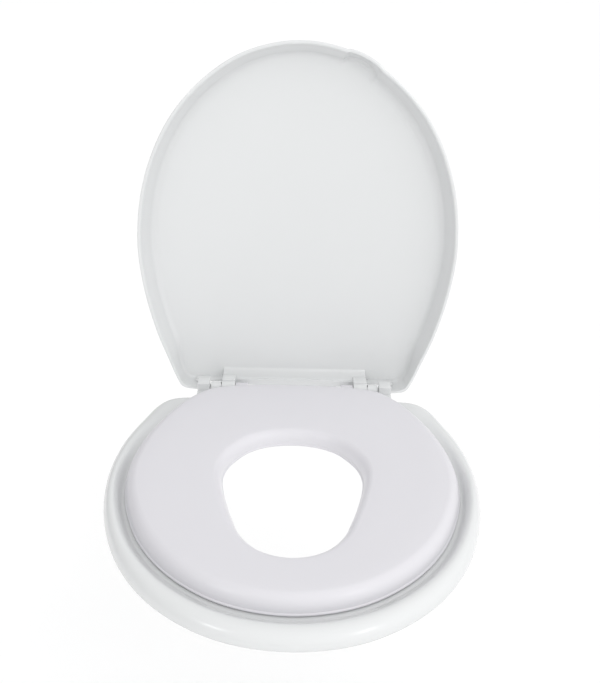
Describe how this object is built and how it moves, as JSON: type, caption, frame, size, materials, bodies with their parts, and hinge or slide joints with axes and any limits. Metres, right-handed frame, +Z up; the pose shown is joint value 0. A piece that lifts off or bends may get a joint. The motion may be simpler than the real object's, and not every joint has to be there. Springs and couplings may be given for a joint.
{
  "type": "family toilet seat",
  "caption": "Family toilet seat: an adult ring, a child's potty-training ring nested in it and a dished lid, all hinged on one line, with bolts that fix it to a toilet pan.",
  "frame": {"origin": "midway between the two fixing bolts, on the top of the pan, under the hinge line", "axes": "+X to the right of someone facing the seat, -Y to the front of the seat, +Z up"},
  "size_m": [0.37, 0.4941, 0.4561],
  "materials": {
    "white_gloss": "glossy moulded polypropylene, cool white",
    "lilac_satin": "satin moulded polypropylene with a faint lilac tint",
    "pin_nylon": "smooth nylon",
    "fixing_nylon": "natural white nylon",
    "pad_rubber": "soft pale sealing rubber",
    "buffer_rubber": "translucent white soft plastic"
  },
  "bodies": {
    "hinge_base": {"hinge_post_left": "white_gloss", "hinge_post_right": "white_gloss", "hinge_pin_left": "pin_nylon", "hinge_pin_right": "pin_nylon", "fixing_bolt_left": "fixing_nylon", "fixing_bolt_right": "fixing_nylon", "sealing_pad_left": "pad_rubber", "sealing_pad_right": "pad_rubber"},
    "adult_seat": {"adult_ring": "white_gloss", "seat_buffer_front_left": "buffer_rubber", "seat_buffer_front_right": "buffer_rubber", "seat_buffer_rear_left": "buffer_rubber", "seat_buffer_rear_right": "buffer_rubber"},
    "child_seat": {"child_ring": "lilac_satin", "child_knuckle_left": "lilac_satin", "child_knuckle_right": "lilac_satin", "child_buffer_front_left": "buffer_rubber", "child_buffer_front_right": "buffer_rubber", "child_buffer_rear_left": "buffer_rubber", "child_buffer_rear_right": "buffer_rubber"},
    "lid": {"lid": "white_gloss", "lid_knuckle_left": "white_gloss", "lid_knuckle_right": "white_gloss"},
    "washer_left": {"washer_left": "fixing_nylon"},
    "wing_nut_left": {"wing_nut_left": "fixing_nylon"},
    "washer_right": {"washer_right": "fixing_nylon"},
    "wing_nut_right": {"wing_nut_right": "fixing_nylon"}
  },
  "joints": [
    {"name": "adult_seat_lift", "type": "hinge", "parent": "hinge_base", "child": "adult_seat", "pos_m": [0, 0, 0.014], "axis": [-1, 0, 0], "range_deg": [0, 98]},
    {"name": "child_seat_lift", "type": "hinge", "parent": "adult_seat", "child": "child_seat", "pos_m": [0, 0, 0.014], "axis": [-1, 0, 0], "range_deg": [0, 98]},
    {"name": "lid_hinge", "type": "hinge", "parent": "hinge_base", "child": "lid", "pos_m": [0, 0, 0.014], "axis": [-1, 0, 0], "range_deg": [-98, 0]},
    {"name": "nut_travel_left", "type": "slide", "parent": "hinge_base", "child": "washer_left", "axis": [0, 0, -1], "range_m": [0, 0.02135]},
    {"name": "nut_turn_left", "type": "hinge", "parent": "washer_left", "child": "wing_nut_left", "pos_m": [-0.0775, 0, -0.03], "axis": [0, 0, -1], "range_deg": [0, 6120]},
    {"name": "nut_travel_right", "type": "slide", "parent": "hinge_base", "child": "washer_right", "axis": [0, 0, -1], "range_m": [0, 0.02135]},
    {"name": "nut_turn_right", "type": "hinge", "parent": "washer_right", "child": "wing_nut_right", "pos_m": [0.0775, 0, -0.03], "axis": [0, 0, -1], "range_deg": [0, 6120]}
  ],
  "couplings": [
    {"joint": "nut_travel_left", "follows": "nut_turn_left", "m_per_rad": 0.00019894},
    {"joint": "nut_travel_right", "follows": "nut_turn_right", "m_per_rad": 0.00019894}
  ]
}
